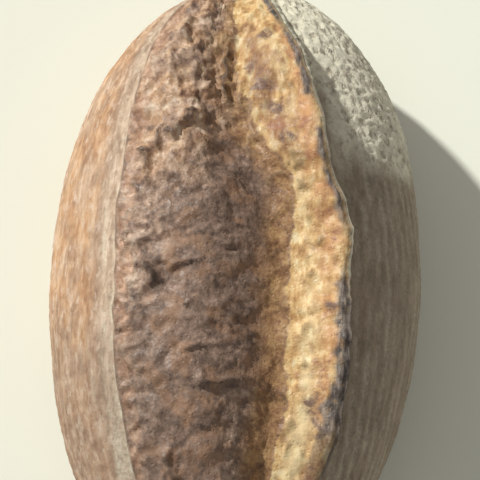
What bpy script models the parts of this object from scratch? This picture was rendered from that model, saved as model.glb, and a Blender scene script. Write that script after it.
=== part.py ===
"""Sourdough loaf: a long oval loaf that split open along one slash, with a lifted ear.

The loaf lies on its flat base, +Z up. It runs along Y, and the ear is on the +X side. The origin is
at the middle of the base. Everything is worked out from the sizes below, in metres.

Lengthwise places are given by t, which is -1 at the -Y tip, 0 in the middle and 1 at the +Y tip.
"""

import math

import bmesh
import bpy
from mathutils import Vector, noise

# Driving dimensions of the whole loaf
LOAF_LENGTH = 0.268
LOAF_WIDTH = 0.149
CRUST_HEIGHT = 0.088        # top of the unsplit crust over the middle
WIDEST_HEIGHT = 0.039       # height of the widest line above the base
TIP_HEIGHT = 0.033          # height of the two end tips
BASE_CUT = 0.009            # how much of the rounded underside the flat base takes away

# Roundness of the loaf: powers of its plan, its long profile and its cross-section
PLAN_POWERS = (2.05, 0.54)
TOP_POWERS = (2.5, 0.58)
UNDERSIDE_POWERS = (5.0, 0.75)
UPPER_SECTION_POWER = 2.15
LOWER_SECTION_POWER = 2.6
STEEPEST_WALL = math.radians(74)

# The +Y end is a little fuller than the -Y end
SHOULDER = 0.035
SHOULDER_PLACE = 0.60
SHOULDER_REACH = 0.26

# The split: its two edges as shares of the local half width, and how they drift along the loaf
EAR_SHARE = 0.49
EAR_BEND = 0.12             # how far the ear's line bends in just past the middle, and where it does
EAR_BEND_REACH = (0.05, 0.33)
EAR_DRIFT_FAR = 0.25        # how far it comes in after that at the +Y end
EAR_SPREAD = 0.065          # how far it moves out towards the -Y end, and where it does
EAR_SPREAD_REACH = (0.05, 0.62)
EDGE_SHARE = 0.662
EDGE_DRIFT = 0.11           # how far the left edge leans out at +Y, and in at -Y
SPLIT_CENTRE = 0.04
SPLIT_FADES = (0.80, 0.965)  # where the split starts to close, and where it is shut

# The risen inside of the split, and the valley beside the ear
BELLY_RISE = 0.0075
VALLEY_DEPTH = 0.0085
VALLEY_PLACE = 0.74         # share of the way from the left edge to the ear
VALLEY_DRIFT = 0.75         # how far it wanders from the ear towards the +Y end
VALLEY_INMOST = 0.54
VALLEY_REACH = 0.20
VALLEY_START = (0.25, 0.50)

# The ear: the crust's lip, lifted and leaning outwards
EAR_RISE = 0.0125
EAR_LEAN = math.radians(27)
EAR_HALF_THICKNESS = 0.0013
EAR_OUTER_FOOT = 0.0046
EAR_INNER_FOOT = 0.020
EAR_INNER_CURVE = 1.7
EAR_FADES = (0.35, 0.95)
EAR_WAVE = 0.16             # unevenness of its height, as a share, and the length of the waves
EAR_WAVE_LENGTH = 0.030
NARROW_END = 0.030          # half width below which the ear's foot shrinks with the loaf

# The old crust's left edge stands proud of a thin crack
CRACK_DEPTH = 0.0012
CRACK_PLACE = 0.975
CRACK_REACH = 0.020

# Relief: lumps and crosswise folds in the split, gentle dents in the crust
LUMP_HEIGHT = 0.0017
LUMP_SIZE = 0.013
FOLD_HEIGHT = 0.0016
FOLD_SPACING = 0.0115
FOLD_WIDTH = 0.030
FOLD_WANDER = 0.022
LEFT_MARGIN = (-0.020, -0.042)  # the split is craggier between here and its left edge,
FAR_CRAGS = (0.035, 0.065)      # and from here towards the +Y end
CALM_LUMPS = 0.6                # height of the lumps and folds over the calmer middle, as a share
CALM_FOLDS = 0.5
CRAGGY_FOLDS = 0.15
TORN_EDGES = (0.02, 0.12, 0.88, 0.97)
DENT_HEIGHT = 0.0011
DENT_SIZE = 0.055
SMALL_DENT_SIZE = 0.016
BASE_CLEARANCE = (0.002, 0.012)

# Deep tears in the split, each from one point to another as seen from above: x, y, x, y, width, depth
TEARS = (
    (-0.0080, 0.0880, -0.0086, 0.0640, 0.0026, 0.0034),
    (-0.0155, 0.0650, -0.0107, 0.0620, 0.0026, 0.0028),
    (-0.0167, 0.0520, -0.0272, 0.0400, 0.0030, 0.0036),
    (-0.0283, 0.0820, -0.0283, 0.0740, 0.0030, 0.0034),
    (-0.0235, 0.0990, -0.0255, 0.0900, 0.0028, 0.0030),
    (-0.0325, -0.0085, -0.0325, -0.0140, 0.0030, 0.0040),
    (-0.0373, 0.0370, -0.0362, 0.0273, 0.0026, 0.0026),
    (-0.0161, -0.0378, -0.0061, -0.0372, 0.0026, 0.0022),
    (-0.0107, -0.0510, 0.0037, -0.0501, 0.0026, 0.0022),
    (-0.0300, -0.0780, -0.0220, -0.0900, 0.0030, 0.0034),
    (0.0040, -0.0980, 0.0020, -0.1100, 0.0028, 0.0030),
)
TEAR_WANDER = 0.008

# Columns of faces round the loaf, zone by zone from the base's middle by way of +X
ZONES = (
    ("base_right", 3),
    ("wall_right", 6),
    ("crust_right", 8),
    ("ear_outer", 4),
    ("split", 36),
    ("crust_left", 7),
    ("wall_left", 6),
    ("base_left", 3),
)
RINGS = 81
RING_EVENNESS = 0.12        # draws the rings together over the middle and apart at the tips
FLAT_BASE_SNAP = 0.0002

CRUST_COLOUR = (0.47, 0.29, 0.16, 1.0)
CRUST_ROUGHNESS = 0.75


def clamp(value, low=0.0, high=1.0):
    return max(low, min(high, value))


def smooth_step(low, high, value):
    share = clamp((value - low) / (high - low))
    return share * share * (3 - 2 * share)


def bell(distance):
    return math.exp(-distance * distance)


def taper(t, powers):
    """1 at the middle of the loaf, 0 at its two tips."""
    along, root = powers
    return (1 - min(1.0, abs(t)) ** along) ** root


def rough(point, size, octaves=3):
    """Smooth noise of about -1 to 1, whose largest lumps measure about size."""
    return noise.fractal(point / size, 1.0, 2.0, octaves) * 0.8


def section(t):
    """Half width, widest height, rise above it and drop below it, of the plain loaf at t."""
    shoulder = 1 + SHOULDER * bell((t - SHOULDER_PLACE) / SHOULDER_REACH)
    half_width = LOAF_WIDTH / 2 * taper(t, PLAN_POWERS) * shoulder
    widest = WIDEST_HEIGHT + (TIP_HEIGHT - WIDEST_HEIGHT) * abs(t) ** 3
    rise = (CRUST_HEIGHT - WIDEST_HEIGHT) * taper(t, TOP_POWERS)
    drop = (WIDEST_HEIGHT + BASE_CUT) * taper(t, UNDERSIDE_POWERS)
    return half_width, widest, rise, drop


def crust_point(angle, t, y):
    """A point of the plain loaf: angle 0 is the widest line on +X, 90 degrees the top."""
    half_width, widest, rise, drop = section(t)
    power = 2 / (UPPER_SECTION_POWER if angle >= 0 else LOWER_SECTION_POWER)
    across = math.copysign(abs(math.cos(angle)) ** power, math.cos(angle))
    climb = abs(math.sin(angle)) ** power
    height = widest + rise * climb if angle >= 0 else widest - drop * climb
    return Vector((half_width * across, y, max(0.0, height)))


def upper_angle(x, t):
    """The angle at which the upper crust is at x."""
    share = clamp(abs(x) / max(section(t)[0], 1e-6))
    angle = math.acos(share ** (UPPER_SECTION_POWER / 2))
    return angle if x >= 0 else math.pi - angle


def base_edge_angle(t):
    """The angle, below the widest line, where the wall meets the flat base."""
    _, widest, _, drop = section(t)
    reach = clamp(widest / max(drop, 1e-6)) ** (LOWER_SECTION_POWER / 2)
    return -min(math.asin(reach), STEEPEST_WALL)


def ear_x(t):
    if t > 0:
        drift = EAR_BEND * smooth_step(*EAR_BEND_REACH, t) + EAR_DRIFT_FAR * t ** 2
    else:
        drift = -EAR_SPREAD * smooth_step(*EAR_SPREAD_REACH, -t)
    return section(t)[0] * (EAR_SHARE - drift)


def ear_foot_x(t):
    return ear_x(t) + EAR_OUTER_FOOT * min(1.0, section(t)[0] / NARROW_END)


def edge_x(t):
    return -section(t)[0] * (EDGE_SHARE + EDGE_DRIFT * t * abs(t))


def split_fade(t):
    """1 along most of the split, 0 past its two ends."""
    return 1 - smooth_step(*SPLIT_FADES, abs(t - SPLIT_CENTRE * (1 - t * t)))


def ear_profile(offset):
    """How far the ear is lifted, from 0 to 1, at an offset across its line; outwards is positive."""
    if offset > EAR_HALF_THICKNESS:
        return 1 - smooth_step(EAR_HALF_THICKNESS, EAR_OUTER_FOOT, offset)
    if offset > -EAR_HALF_THICKNESS:
        return 1.0
    inward = clamp((-offset - EAR_HALF_THICKNESS) / EAR_INNER_FOOT)
    return (1 - inward) ** EAR_INNER_CURVE


def ear_lift(t, y):
    """Height of the ear's lip at t, uneven along its length."""
    ends = 1 - smooth_step(*EAR_FADES, abs(t - SPLIT_CENTRE))
    return EAR_RISE * ends * (1 + EAR_WAVE * rough(Vector((0.0, y, 0.0)), EAR_WAVE_LENGTH))


def valley(share, t):
    place = max(VALLEY_INMOST, VALLEY_PLACE - VALLEY_DRIFT * t * t) if t > 0 else VALLEY_PLACE
    return VALLEY_DEPTH * bell((share - place) / VALLEY_REACH) * smooth_step(*VALLEY_START, share)


def split_height(share, t):
    """Height of the split above the old crust's line; share runs from its left edge to the ear."""
    belly = BELLY_RISE * math.sin(math.pi * clamp(share) ** 0.8) ** 0.8 if 0 < share < 1 else 0.0
    return belly - valley(share, t)


def split_point(x, t, y):
    """A point of the loaf's top that started at x, with the split and the ear formed."""
    half_width, widest, rise, _ = section(t)
    offset = x - ear_x(t)
    share = 1 + offset / (ear_x(t) - edge_x(t)) if offset < 0 else 1.0
    outside = 1 - smooth_step(0, EAR_OUTER_FOOT, offset)
    size = split_fade(t) * half_width / (LOAF_WIDTH / 2)
    lift = ear_lift(t, y) * ear_profile(offset)
    across = clamp(abs(x) / max(half_width, 1e-6)) ** UPPER_SECTION_POWER
    z = widest + rise * (1 - across) ** (1 / UPPER_SECTION_POWER) + split_height(share, t) * size * outside
    return Vector((x + lift * math.sin(EAR_LEAN), y, z + lift * math.cos(EAR_LEAN)))


def base_point(share, t, y):
    """A point of the underside: share runs from -1 at the left wall to 1 at the right one."""
    wall = base_edge_angle(t)
    corner = crust_point(wall, t, y)
    if corner.z <= 1e-7:
        return Vector((corner.x * share, y, 0.0))
    angle = -math.pi / 2 + (wall + math.pi / 2) * abs(share)
    point = crust_point(angle, t, y)
    return Vector((math.copysign(point.x, share), y, point.z))


def form_point(zone, share, t):
    """A point of the smooth loaf: share runs from 0 to 1 across the zone."""
    y = LOAF_LENGTH / 2 * t
    if zone == "base_right":
        return base_point(share, t, y)
    if zone == "base_left":
        return base_point(share - 1, t, y)
    if zone == "wall_right":
        return crust_point(base_edge_angle(t) * (1 - share), t, y)
    if zone == "wall_left":
        point = crust_point(base_edge_angle(t) * share, t, y)
        return Vector((-point.x, y, point.z))
    if zone == "crust_right":
        return crust_point(upper_angle(ear_foot_x(t), t) * share, t, y)
    if zone == "ear_outer":
        return split_point(ear_foot_x(t) + (ear_x(t) - ear_foot_x(t)) * share, t, y)
    if zone == "split":
        return split_point(ear_x(t) + (edge_x(t) - ear_x(t)) * share, t, y)
    start = upper_angle(edge_x(t), t)
    return crust_point(start + (math.pi - start) * share, t, y)


def tear_depth(point):
    """Depth of the tears at a point, seen from above."""
    here = Vector((point.x, point.y))
    depth = 0.0
    for x0, y0, x1, y1, width, deepest in TEARS:
        start = Vector((x0, y0))
        run = Vector((x1, y1)) - start
        share = clamp((here - start).dot(run) / run.length_squared)
        away = (here - start - run * share).length + rough(point, TEAR_WANDER, 2) * width
        depth = max(depth, deepest * bell(away / width))
    return depth


def split_relief(point):
    """Lumps, crosswise folds and tears of the torn surface, as a height along its normal."""
    lumps = LUMP_HEIGHT * rough(point, LUMP_SIZE)
    bend = 1.3 * rough(point, FOLD_WANDER, 2)
    warped = Vector((point.x / FOLD_WIDTH, point.y / FOLD_SPACING + bend, point.z / FOLD_WIDTH))
    folds = FOLD_HEIGHT * (1 - 2 * abs(noise.noise(warped)) ** 0.7)
    craggy = max(smooth_step(*LEFT_MARGIN, point.x), smooth_step(*FAR_CRAGS, point.y))
    return lumps * (CALM_LUMPS + craggy) + folds * (CALM_FOLDS + CRAGGY_FOLDS * craggy) - tear_depth(point)


def crust_relief(point):
    off_base = smooth_step(*BASE_CLEARANCE, point.z)
    dents = rough(point, DENT_SIZE, 2) + 0.35 * rough(point, SMALL_DENT_SIZE, 2)
    return DENT_HEIGHT * dents * off_base


def relief(zone, share, t, point):
    """Height of the relief at a point of the smooth loaf."""
    if zone != "split":
        return crust_relief(point)
    ear_side, ear_full, edge_full, edge_side = TORN_EDGES
    fade = split_fade(t)
    torn = smooth_step(ear_side, ear_full, share) * (1 - smooth_step(edge_full, edge_side, share)) * fade
    crack = CRACK_DEPTH * bell((share - CRACK_PLACE) / CRACK_REACH) * fade
    return crust_relief(point) * (1 - torn) + split_relief(point) * torn - crack


def zone_at(column):
    """The zone that a column line lies in, and its share of the way across it."""
    start = 0
    for zone, columns in ZONES:
        if column < start + columns:
            break
        start += columns
    return zone, (column - start) / columns


def shape_loaf(bm, columns):
    """Moves the points of a round ball to the loaf's surface, then raises the relief."""
    places = {}
    for vert in bm.verts:
        x, y, z = vert.co
        latitude = -math.asin(clamp(z, -1, 1))
        t = math.sin(latitude - RING_EVENNESS * math.sin(2 * latitude))
        column = round(math.atan2(y, x) / (2 * math.pi) * columns) % columns
        zone, share = zone_at(column)
        vert.co = form_point(zone, share, t)
        places[vert] = (zone, share, t)
    bm.normal_update()
    shifts = {vert: vert.normal * relief(*place, vert.co) for vert, place in places.items()}
    for vert, shift in shifts.items():
        vert.co += shift
        if vert.co.z < FLAT_BASE_SNAP:
            vert.co.z = 0.0


def centre_on_base(bm):
    """Puts the origin under the middle of the loaf's box."""
    for axis in (0, 1):
        values = [vert.co[axis] for vert in bm.verts]
        middle = (min(values) + max(values)) / 2
        for vert in bm.verts:
            vert.co[axis] -= middle


def crust_material():
    material = bpy.data.materials.new("baked_crust")
    material.use_nodes = True
    shader = material.node_tree.nodes["Principled BSDF"]
    shader.inputs["Base Color"].default_value = CRUST_COLOUR
    shader.inputs["Roughness"].default_value = CRUST_ROUGHNESS
    shader.inputs["Metallic"].default_value = 0.0
    return material


def make_loaf(collection):
    columns = sum(count for _, count in ZONES)
    bm = bmesh.new()
    bmesh.ops.create_uvsphere(bm, u_segments=columns, v_segments=RINGS, radius=1.0)
    shape_loaf(bm, columns)
    centre_on_base(bm)
    mesh = bpy.data.meshes.new("loaf")
    bm.to_mesh(mesh)
    bm.free()
    mesh.shade_smooth()
    mesh.materials.append(crust_material())
    loaf = bpy.data.objects.new("loaf", mesh)
    collection.objects.link(loaf)
    return loaf


def main():
    for thing in list(bpy.data.objects):
        bpy.data.objects.remove(thing)
    collection = bpy.data.collections.new("sourdough_loaf")
    bpy.context.scene.collection.children.link(collection)
    make_loaf(collection)


main()
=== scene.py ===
"""The looks of the sourdough loaf: its fine crust and torn surface, lit and seen as in the photograph.

The loaf's form repeats the one in the model's source, on a finer mesh. Lengths are in metres.
Lengthwise places are given by t, which is -1 at the -Y tip, 0 in the middle and 1 at the +Y tip.
Places across the torn surface are given by share, which is 0 at the ear and 1 at the left edge.
"""

import math
from functools import lru_cache

import bpy
import numpy as np
from mathutils import Matrix, Vector, noise


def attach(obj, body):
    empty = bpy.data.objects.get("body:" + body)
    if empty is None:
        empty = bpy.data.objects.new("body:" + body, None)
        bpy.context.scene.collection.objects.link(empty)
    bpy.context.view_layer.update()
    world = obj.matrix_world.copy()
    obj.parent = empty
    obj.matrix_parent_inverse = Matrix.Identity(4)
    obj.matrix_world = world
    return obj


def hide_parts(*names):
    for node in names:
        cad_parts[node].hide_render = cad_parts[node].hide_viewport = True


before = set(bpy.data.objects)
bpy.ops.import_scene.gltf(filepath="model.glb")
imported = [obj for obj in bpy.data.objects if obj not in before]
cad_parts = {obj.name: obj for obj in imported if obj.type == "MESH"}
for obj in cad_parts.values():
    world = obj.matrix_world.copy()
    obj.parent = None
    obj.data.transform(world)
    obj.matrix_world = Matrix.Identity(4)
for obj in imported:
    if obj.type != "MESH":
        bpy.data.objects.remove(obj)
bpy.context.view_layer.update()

# The form, with the same values as in the model's source
LOAF_LENGTH = 0.268
LOAF_WIDTH = 0.149
CRUST_HEIGHT = 0.088
WIDEST_HEIGHT = 0.039
TIP_HEIGHT = 0.033
BASE_CUT = 0.009
PLAN_POWERS = (2.05, 0.54)
TOP_POWERS = (2.5, 0.58)
UNDERSIDE_POWERS = (5.0, 0.75)
UPPER_SECTION_POWER = 2.15
LOWER_SECTION_POWER = 2.6
STEEPEST_WALL = math.radians(74)
SHOULDER = 0.035
SHOULDER_PLACE = 0.60
SHOULDER_REACH = 0.26
EAR_SHARE = 0.49
EAR_BEND = 0.12
EAR_BEND_REACH = (0.05, 0.33)
EAR_DRIFT_FAR = 0.25
EAR_SPREAD = 0.065
EAR_SPREAD_REACH = (0.05, 0.62)
EDGE_SHARE = 0.662
EDGE_DRIFT = 0.11
SPLIT_CENTRE = 0.04
SPLIT_FADES = (0.80, 0.965)
BELLY_RISE = 0.0075
VALLEY_DEPTH = 0.0085
VALLEY_PLACE = 0.74
VALLEY_DRIFT = 0.75
VALLEY_INMOST = 0.54
VALLEY_REACH = 0.20
VALLEY_START = (0.25, 0.50)
EAR_RISE = 0.0125
EAR_LEAN = math.radians(27)
EAR_HALF_THICKNESS = 0.0013
EAR_OUTER_FOOT = 0.0046
EAR_INNER_FOOT = 0.020
EAR_INNER_CURVE = 1.7
EAR_FADES = (0.35, 0.95)
EAR_WAVE = 0.16
EAR_WAVE_LENGTH = 0.030
NARROW_END = 0.030
CRACK_DEPTH = 0.0012
CRACK_PLACE = 0.968
CRACK_REACH = 0.010
LUMP_HEIGHT = 0.0017
LUMP_SIZE = 0.013
FOLD_HEIGHT = 0.0016
FOLD_SPACING = 0.0115
FOLD_WIDTH = 0.030
FOLD_WANDER = 0.022
FOLD_BEND = 1.3
FOLD_SHARPNESS = 0.7
LEFT_MARGIN = (-0.020, -0.042)
FAR_CRAGS = (0.035, 0.065)
CRAGGY_WANDER = 0.006
CRAGGY_WANDER_SIZE = 0.018
CALM_LUMPS = 0.6
CALM_FOLDS = 0.5
CRAGGY_FOLDS = 0.15
TORN_EDGES = (0.02, 0.12, 0.88, 0.97)
DENT_HEIGHT = 0.0011
DENT_SIZE = 0.055
SMALL_DENT_SIZE = 0.016
SMALL_DENTS = 0.35
BASE_CLEARANCE = (0.002, 0.012)

# Small nicks of the ear's lip, each depth, length and row of the noise
EAR_NICKS = ((0.07, 0.007, 0.3), (0.04, 0.003, 0.7))

# Tears, each from x, y to x, y with its width and depth. They lie close to the ones in the model's
# source but are narrower, and a few small ones are added
TEARS = (
    (-0.0080, 0.0880, -0.0086, 0.0640, 0.0022, 0.0030),
    (-0.0155, 0.0665, -0.0107, 0.0640, 0.0014, 0.0024),
    (-0.0192, 0.0540, -0.0275, 0.0440, 0.0014, 0.0028),
    (-0.0283, 0.0820, -0.0290, 0.0750, 0.0019, 0.0028),
    (-0.0235, 0.0990, -0.0255, 0.0900, 0.0018, 0.0026),
    (-0.0320, -0.0075, -0.0292, -0.0140, 0.0015, 0.0042),
    (-0.0373, 0.0374, -0.0350, 0.0245, 0.0013, 0.0026),
    (-0.0316, 0.0476, -0.0329, 0.0390, 0.0011, 0.0022),
    (-0.0409, 0.0648, -0.0383, 0.0679, 0.0011, 0.0018),
    (-0.0415, 0.0030, -0.0407, -0.0001, 0.0009, 0.0018),
    (-0.0430, 0.0620, -0.0450, 0.0560, 0.0014, 0.0022),
    (-0.0161, -0.0388, -0.0061, -0.0372, 0.0012, 0.0016),
    (-0.0107, -0.0510, 0.0037, -0.0501, 0.0012, 0.0016),
    (-0.0240, -0.0095, -0.0140, -0.0068, 0.0011, 0.0015),
    (-0.0225, -0.0770, -0.0165, -0.0880, 0.0020, 0.0026),
    (0.0040, -0.0980, 0.0020, -0.1100, 0.0022, 0.0030),
)
TEAR_WANDER = 0.008
TEAR_RAGGEDNESS = 1.3
TEAR_FINE_SHARE = 0.7
TEAR_REACH = 4
# Tear depths over which the tears are darkened, as painted shade
DARK_TEARS = (0.0012, 0.0032)

# Keeps noise_vector the same in every run
NOISE_SEED = 7

# The fine mesh
ZONES = (
    ("base_right", 4),
    ("wall_right", 13),
    ("crust_right", 62),
    ("ear_outer", 10),
    ("split", 130),
    ("crust_left", 36),
    ("wall_left", 13),
    ("base_left", 4),
)
COLUMNS = sum(count for _, count in ZONES)
RINGS = 354
RING_EVENNESS = 0.17

# Fine relief of the torn surface
CLUMP_SIZE = 0.0043
CLUMP_HEIGHT = 0.0011
CRAG_SIZE = 0.0085
CRAG_HEIGHT = 0.0011
GRAIN_SIZE = 0.0021
GRAIN_HEIGHT = 0.00035
ROUGHNESS_SIZE = 0.0050
ROUGHNESS_HEIGHT = 0.0007
FAR_LUMP_SIZE = 0.0095
FAR_LUMP_HEIGHT = 0.0013
GOLD_LUMP_SIZE = 0.0036
GOLD_LUMP_HEIGHT = 0.00045
WRINKLE_SPACING = 0.0058
WRINKLE_LENGTH = 0.015
WRINKLE_ARCH = 14.0
WRINKLE_SWELL = 0.00070
WRINKLE_DEPTH = 0.00055
WRINKLE_TALLNESS = 0.02
WRINKLE_BEND = 0.9
WRINKLE_BEND_SIZE = 0.015
SMALL_WRINKLES_PER_WRINKLE = 2.1
SMALL_WRINKLE_SHIFT = 5.0
SMALL_WRINKLE_LENGTH = 0.007
SMALL_WRINKLE_TALLNESS = 0.01
CREASE_WIDTH = 0.085
CREASE_BREAKS = (-0.05, 0.22)
CREASE_BREAK_SIZE = 0.012
CREASE_SHIFT = Vector((3.1, 0.7, 5.2))
FINE_CREASE_WIDTH = 0.10
FINE_CREASE_BREAKS = (-0.1, 0.2)
FINE_CREASE_BREAK_SIZE = 0.007
FINE_CREASE_SHIFT = Vector((1.1, 4.7, 2.2))
TORN_WARP = 0.0020
TORN_WARP_SIZE = 0.006
CRAG_SHIFT = Vector((0.0, 0.05, 0.0))
PATCHY_SIZE = 0.009

# How wide the slopes and the gaps round clumps, grains and crags are, in parts of their size; the gaps are
# darkened as painted shade
CLUMP_SLOPE = 0.40
GRAIN_SLOPE = 0.42
CRAG_SLOPE = 0.45
CLEFT_WIDTH = 0.17
GAP_WIDTH = 0.15

# Pits and streaks of the ear's inner side: a pit's reach in parts of its size, and what share is pitted
PIT_SIZE = 0.0046
PIT_DEPTH = 0.0009
PIT_REACH = 0.26
PIT_STRETCH = 0.7
PITTED = 0.35
STREAK_WIDTH = 0.0022
STREAK_LENGTH = 0.009
STREAK_HEIGHT = 0.00030
CRACK_WANDER = (0.011, 0.005)
RIM_HEIGHT = 0.0006

# Fine relief of the crust
FLOUR_PLATE_SIZE = 0.0034
FLOUR_PLATE_HEIGHT = 0.0009
FLOUR_PLATE_SLOPE = 0.45
FLOUR_PLATE_STRETCH = 0.75
FLOUR_WARP = 0.0018
FLOUR_WARP_SIZE = 0.006
FLOUR_STREAK_SIZE = 0.008
FLOUR_STREAK_STRETCH = 0.22
FLOUR_RINGS = (-0.3, 0.9)
FLOUR_THINNING_SIZE = 0.03
BUMPY_BAND = (0.003, 0.008)
BLISTER_SIZE = 0.0050
BLISTER_HEIGHT = 0.00035
BLISTER_REACH = 0.32
BLISTER_FREE = 0.80
SKIN_SIZE = 0.0024
SKIN_HEIGHT = 0.00014
RING_MARK_SPACING = 0.0062
RING_MARK_HEIGHT = 0.00016
RING_MARK_WOBBLE = 0.35
RING_MARK_WOBBLE_SIZE = 0.030
CRUST_DETAIL_FOOT = 0.010

# Where flour lies thickly on the right crust: from where by t, how far that wanders, and how much
# later it starts lower down the side; and where the two sides' crusts blend round the tips
FLOURY_START = (0.25, 0.40)
FLOURY_WANDER = 0.09
FLOURY_WANDER_SIZE = 0.020
FLOURY_SLANT = 0.42
FLOURY_HEIGHTS = (0.020, 0.058)
FLOURY_FOOT = (0.008, 0.030)
FLOURY_FOOT_SWAY = 0.010
FLOURY_FOOT_SIZE = 0.012
TIP_BLEND = (0.84, 0.96)
TIP_BLEND_REACH = 0.022
TIP_BLEND_WANDER = 0.01
TIP_BLEND_SIZE = 0.02

# Beside the ear the thick flour starts a little away from it, apart from the far end
FLOURY_GAP = (0.004, 0.009)
FLOURY_GAP_SWAY = 0.003
FLOURY_GAP_SIZE = 0.008
FLOURY_GAP_END = (0.48, 0.60)

# Bands of flour along the left edge, each at a distance from it and with a reach, and the haze
# between them
FIRST_BAND = (0.0012, 0.0011)
FIRST_BAND_THINS = (0.25, 0.45)
SECOND_BAND = (0.0048, 0.0012)
SECOND_BAND_SWAY = 0.0016
BAND_BREAKS = (-0.30, 0.20)
BAND_BREAK_SIZE = 0.005
FLOUR_HAZE = (0.0045, 0.0100)
FLOUR_HAZE_SWAY = 0.004
HAZE_NEAR_START = (0.38, 0.60)
FLOUR_FOOT = (0.010, 0.030)

# Where the left crust turns orange: away from the split, and less so near -Y
ORANGE_START = (0.006, 0.016)
ORANGE_FADES = (0.15, 0.45)

# Where the pale inner side of the ear ends, as a share: it dips where the ear bends in (by how much,
# where and how widely), and widens towards both tips
GOLD_END = 0.196
GOLD_NEAR_RISE = 0.030
GOLD_NEAR = (0.45, 0.60)
GOLD_DIP = (0.055, 0.20, 0.09)
GOLD_FAR_RISE = 0.185
GOLD_FAR = (0.22, 0.62)

# How its edge fades and sways, sharply near -Y and more softly from where it blends in towards +Y
BLEND_START = (0.20, 0.38)
GOLD_FADE = 0.017
GOLD_FADE_FAR = 0.028
GOLD_SWAY = 0.020
GOLD_SWAY_FAR = 0.052
GOLD_SWAY_SIZE = 0.009

# The ochre band beside it, which is wider near -Y: painted shadow that the belly casts into the valley,
# partly also browned crumb
SHADE_WIDTH = (0.05, 0.17)
SHADE_SWAY = 0.025
SHADE_SWAY_SIZE = 0.014
SHADE_NEAR = 0.05
SHADE_NEAR_START = (0.30, 0.45)

# Where the torn surface turns pale: towards its left edge, as a share, and towards +Y, in metres,
# where it does so later beside the ear
MARGIN_START = (0.77, 0.96)
MARGIN_DRIFT = 0.12
MARGIN_DRIFT_START = (-0.25, 0.10)
MARGIN_SWAY = 0.09
MARGIN_SWAY_SIZE = 0.012
FAR_PALE = (0.014, 0.045)
FAR_SWAY = 0.010
FAR_SWAY_SIZE = 0.016
DIM_FAR_INSIDE = 0.026
DIM_FAR_END = (0.40, 0.56)
DIM_FAR_SWAY = 0.04

# The broken peach strip along the left edge
PEACH_STRIP = (0.865, 0.905)
PEACH_SWAY = 0.022
PEACH_SWAY_SIZE = 0.010
PEACH_BREAKS = (-0.55, 0.15)
PEACH_BREAK_SIZE = 0.0065

# The middle is painted a little paler towards -Y, as painted light: how much, from where, and where across it
NEAR_PALE = 0.55
NEAR_PALE_START = (-0.038, -0.060)
NEAR_PALE_PLACE = 0.33
NEAR_PALE_REACH = 0.15

# Along the left the loaf is painted a little darker towards -Y, as painted shade: how much, and from where,
# by t
DUSKY = 0.21
DUSKY_START = (0.10, 0.35)
DUSKY_EDGE = (0.70, 0.88)

# Width of the burnt band along the ear's lip: plain, and what is added past the middle and towards
# the -Y tip, from where to where along the loaf
BURN_WIDTH = 0.0018
BURN_NEAR_WIDTH = 0.0004
BURN_NEAR_START = (-0.006, -0.024)
BURN_END_WIDTH = 0.0022
BURN_END_START = (-0.048, -0.058)
BURN_OUTSIDE = 0.0020

# Where along the loaf the burnt band fades out, and where it breaks off, over what reach
BURN_END_FADES = (-0.060, -0.075)
BURN_GAP_PLACE = 0.003
BURN_GAP_REACH = 0.009

# How ragged the patches are, with their edges and reach in radii
PATCH_WARP = 0.0026
PATCH_WARP_SIZE = 0.0045
PATCH_EDGE = (0.45, 1.30)
PATCH_REACH = 2.5
PATCH_RAGGEDNESS = 0.75
PATCH_RAG_SIZE = 0.0030

# Patches on the ear's inner side as seen from above, each x, y and radius
BURNT_PATCHES = (
    (0.0060, 0.0687, 0.0042),
    (0.0100, 0.0585, 0.0030),
    (0.0007, 0.0773, 0.0030),
    (0.0071, 0.0929, 0.0028),
    (0.0178, 0.0452, 0.0024),
    (0.0357, -0.0204, 0.0026),
    (0.0307, -0.0572, 0.0036),
    (0.0345, -0.0640, 0.0040),
    (0.0402, -0.0126, 0.0030),
)
RUSTY_PATCHES = (
    (0.0201, 0.0820, 0.0036),
    (0.0120, 0.0790, 0.0030),
    (0.0240, 0.0507, 0.0030),
    (0.0130, 0.0500, 0.0034),
    (0.0256, 0.0366, 0.0030),
    (0.0333, 0.0233, 0.0028),
    (0.0319, 0.0155, 0.0038),
    (0.0335, -0.0420, 0.0028),
)
# The khaki pits are darkened, partly the crumb's own colour and partly painted shade in them
KHAKI_PITS = (
    (0.0168, 0.0655, 0.0019),
    (0.0205, 0.0390, 0.0020),
    (0.0207, 0.0345, 0.0024),
    (0.0226, 0.0265, 0.0016),
    (0.0306, 0.0054, 0.0015),
    (0.0284, -0.0071, 0.0016),
    (0.0272, -0.0290, 0.0022),
    (0.0266, -0.0408, 0.0018),
    (0.0230, -0.0642, 0.0022),
)

# Towards +Y the ear's inner side is browned between two paler strands: where across it, and from
# where to where along the loaf
BROWNED_PLACE = 0.200
BROWNED_DRIFT = 0.30
BROWNED_REACH = 0.085
BROWNED_START = (0.22, 0.34)
BROWNED_END = (0.67, 0.82)
BROWNED_BREAKS = (-0.8, 0.0)
BROWNED_BREAK_SIZE = 0.007

# Where it is toasted, beside the lip, and where cream-coloured, with a gap, which is painted shade, and a
# wider part near -Y, which is painted light
TOAST_PLACE = 0.054
TOAST_REACH = 0.038
TOAST_SIZE = 0.010
CREAM_PLACE = 0.125
CREAM_REACH = 0.035
CREAM_BREAKS = (-0.3, 0.5)
CREAM_BREAK_SIZE = 0.012
CREAM_SHIFT = Vector((0.0, 0.0, 0.1))
CREAM_GAP_PLACE = -0.02
CREAM_GAP_REACH = 0.12
CREAM_NEAR_START = (0.36, 0.50)
CREAM_NEAR_PLACE = 0.135
CREAM_NEAR_REACH = 0.05

# The camera, fitted to the photograph's outline
CAMERA_ELEVATION = math.radians(73.7)
CAMERA_DISTANCE = 0.60
CAMERA_TARGET = Vector((0.0007, 0.0145, 0.05))
CAMERA_ROLL = math.radians(3.26)
CAMERA_LENS = 111.9

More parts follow.
